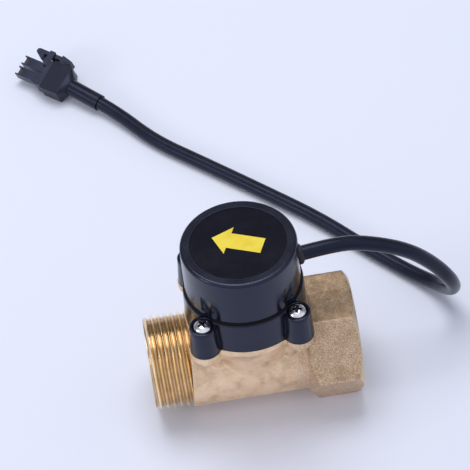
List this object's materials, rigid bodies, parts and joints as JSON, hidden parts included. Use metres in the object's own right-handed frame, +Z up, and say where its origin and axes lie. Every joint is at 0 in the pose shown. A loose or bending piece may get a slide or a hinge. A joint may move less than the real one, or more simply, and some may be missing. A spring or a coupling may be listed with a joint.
{
  "type": "water flow switch",
  "caption": "In-line water flow switch: brass body with male and female pipe threads, round black switch housing, hinged magnet flap and a short lead with a two-way connector.",
  "frame": {"origin": "on the standing surface, under the housing's axis, half a millimetre from midway between the pipe ends", "axes": "+X along the pipe axis towards the hexagonal inlet, +Y to the side that the lead runs to, +Z up"},
  "size_m": [0.1454, 0.1996, 0.0725],
  "materials": {
    "brass": "cast, bead-blasted, with machined threads",
    "housing_plastic": "satin moulded black nylon",
    "label": "gloss black film with a yellow flow arrow",
    "screw_metal": "bright nickel plate",
    "seal_rubber": "matt black rubber",
    "flap_plastic": "moulded acetal, off-white",
    "magnet": "dark grey ferrite",
    "spring_steel": "stainless steel",
    "reed_glass": "clear green glass with plated leads",
    "board": "green solder mask",
    "component_black": "black moulded case",
    "component_red": "dipped red-brown case",
    "resistor": "beige lacquer",
    "core_insulation": "coloured insulation",
    "cord_jacket": "satin black soft PVC",
    "connector_plastic": "satin black nylon",
    "contact_metal": "tinned brass"
  },
  "bodies": {
    "switch": {"brass_body": "brass", "base_housing": "housing_plastic", "cap_housing": "housing_plastic", "label_disc": "label", "base_o_ring": "seal_rubber", "base_screws": "screw_metal", "flap_pin": "spring_steel", "flap_spring": "spring_steel", "reed_switch": "reed_glass", "circuit_board": "board", "triac": "component_black", "snubber_capacitor": "component_red", "gate_resistor": "resistor", "lead_wires": "core_insulation", "cord_grommet": "seal_rubber", "cord": "cord_jacket", "connector_housing": "connector_plastic", "contact_sockets": "contact_metal", "connector_boot": "connector_plastic", "cord_sleeve": "seal_rubber"},
    "flap": {"flap": "flap_plastic", "flap_magnet": "magnet"},
    "latch": {"connector_latch": "connector_plastic"}
  },
  "joints": [
    {"name": "flap_hinge", "type": "hinge", "parent": "switch", "child": "flap", "pos_m": [0, 0, 0.03425], "axis": [0, 1, 0], "range_deg": [0, 55], "stiffness_Nm_per_rad": 0.0008, "springref_deg": -20.05, "deforming": ["flap_spring"]},
    {"name": "latch_hinge", "type": "hinge", "parent": "switch", "child": "latch", "pos_m": [-0.05297, 0.17178, 0.00846], "axis": [0.2275, 0.2554, -0.9397], "range_deg": [0, 6], "stiffness_Nm_per_rad": 0.002, "springref_deg": -2.86}
  ]
}
